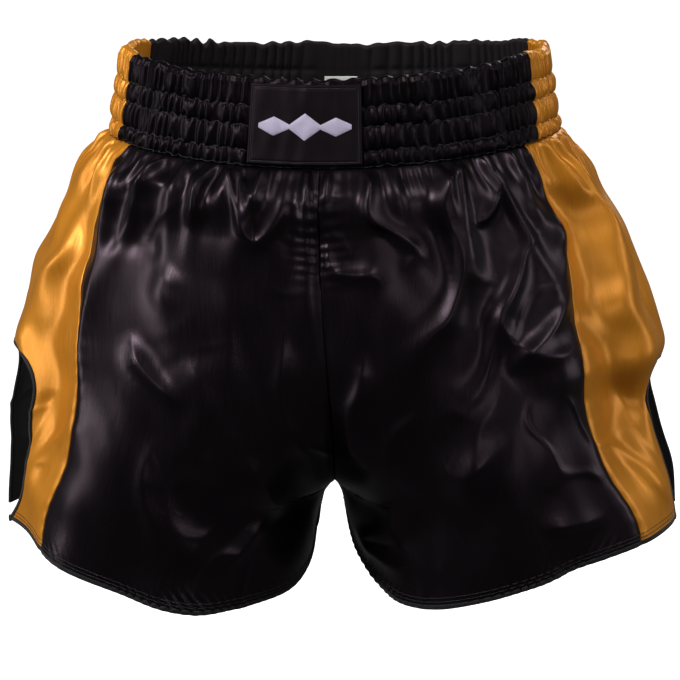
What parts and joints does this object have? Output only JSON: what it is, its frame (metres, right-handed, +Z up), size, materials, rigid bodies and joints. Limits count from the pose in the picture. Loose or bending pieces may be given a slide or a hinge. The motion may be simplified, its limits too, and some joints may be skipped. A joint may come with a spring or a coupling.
{
  "type": "boxing shorts",
  "caption": "Wide-legged satin boxing shorts with a gathered elastic waistband, contrast side panels, arched side vents and a plain front patch.",
  "frame": {"origin": "centre of the waist opening, level with the top edge of the band at its two sides", "axes": "+Z up, +X towards the wearer's left, -Y towards the front of the shorts"},
  "size_m": [0.4874, 0.285, 0.3934],
  "materials": {
    "black_satin": "glossy polyester satin, soft highlights",
    "gold_satin": "glossy polyester satin",
    "patch_satin": "smooth close-woven satin",
    "black_lining": "matt woven lining",
    "black_binding": "matt woven tape",
    "thread": "polyester sewing thread",
    "elastic": "braided elastic tape",
    "embroidery": "pale satin-stitch embroidery thread",
    "label_tape": "white woven label tape"
  },
  "bodies": {
    "shorts": {"back_panel_left": "black_satin", "back_panel_right": "black_satin", "band_casing_back": "black_satin", "band_casing_front": "black_satin", "band_casing_left": "gold_satin", "band_casing_right": "gold_satin", "band_stitch_1": "thread", "band_stitch_2": "thread", "band_stitch_3": "thread", "band_stitch_4": "thread", "front_panel_left": "black_satin", "front_panel_right": "black_satin", "front_patch": "patch_satin", "hem_binding_left": "black_binding", "hem_binding_right": "black_binding", "hem_stitch_left_1": "thread", "hem_stitch_left_2": "thread", "hem_stitch_right_1": "thread", "hem_stitch_right_2": "thread", "patch_motif": "embroidery", "patch_stitch": "thread", "seam_binding_back": "black_binding", "seam_binding_front": "black_binding", "side_panel_left": "gold_satin", "side_panel_right": "gold_satin", "vent_binding_left": "black_binding", "vent_binding_right": "black_binding", "vent_facing_left": "black_lining", "vent_facing_right": "black_lining", "waist_elastic_1": "elastic", "waist_elastic_2": "elastic", "waist_elastic_3": "elastic", "waist_elastic_4": "elastic"},
    "label": {"size_label": "label_tape"}
  },
  "joints": [
    {"name": "label_flip", "type": "hinge", "parent": "shorts", "child": "label", "pos_m": [0.0043, 0.10275, -0.035], "axis": [-1, 0, 0], "range_deg": [0, 170]}
  ]
}
